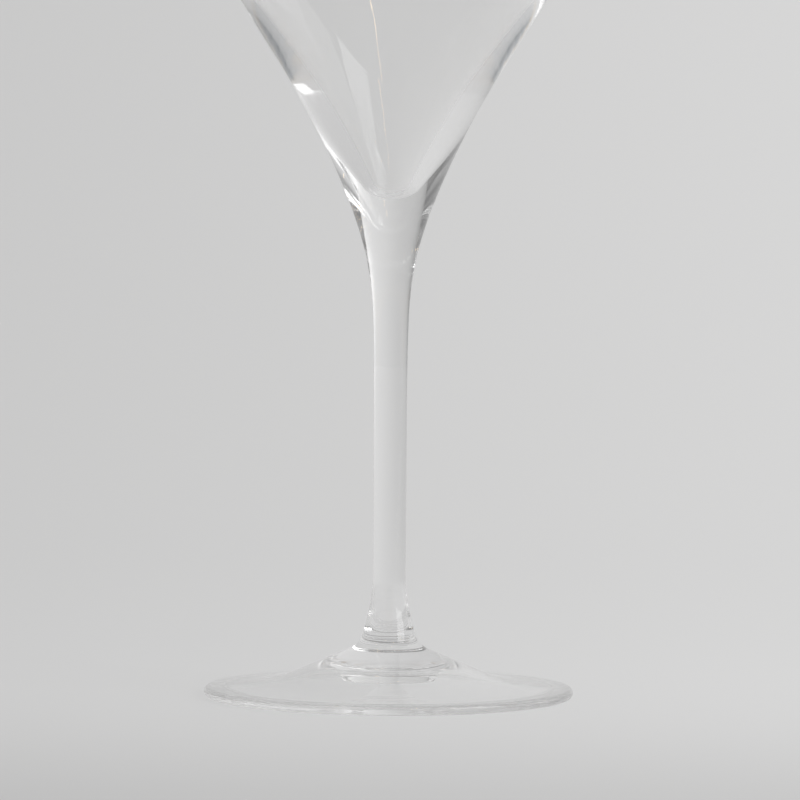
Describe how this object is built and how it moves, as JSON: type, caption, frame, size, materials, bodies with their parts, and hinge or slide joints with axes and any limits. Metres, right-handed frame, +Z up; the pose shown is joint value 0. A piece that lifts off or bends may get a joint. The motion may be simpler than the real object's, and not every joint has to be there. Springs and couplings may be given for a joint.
{
  "type": "nick and nora glass",
  "caption": "Clear stemmed cocktail glass: a thin conical bell bowl with a rounded shoulder, fused to a slender solid stem and a round flared foot.",
  "frame": {"origin": "middle of the plane that the foot rests on", "axes": "+Z up along the stem's axis; X and Y are free, because every piece is turned about Z"},
  "size_m": [0.07, 0.07, 0.165],
  "materials": {
    "clear_glass": "clear colourless fire-polished glass"
  },
  "bodies": {
    "root": {"bowl": "clear_glass", "stem": "clear_glass", "foot": "clear_glass"}
  },
  "joints": []
}
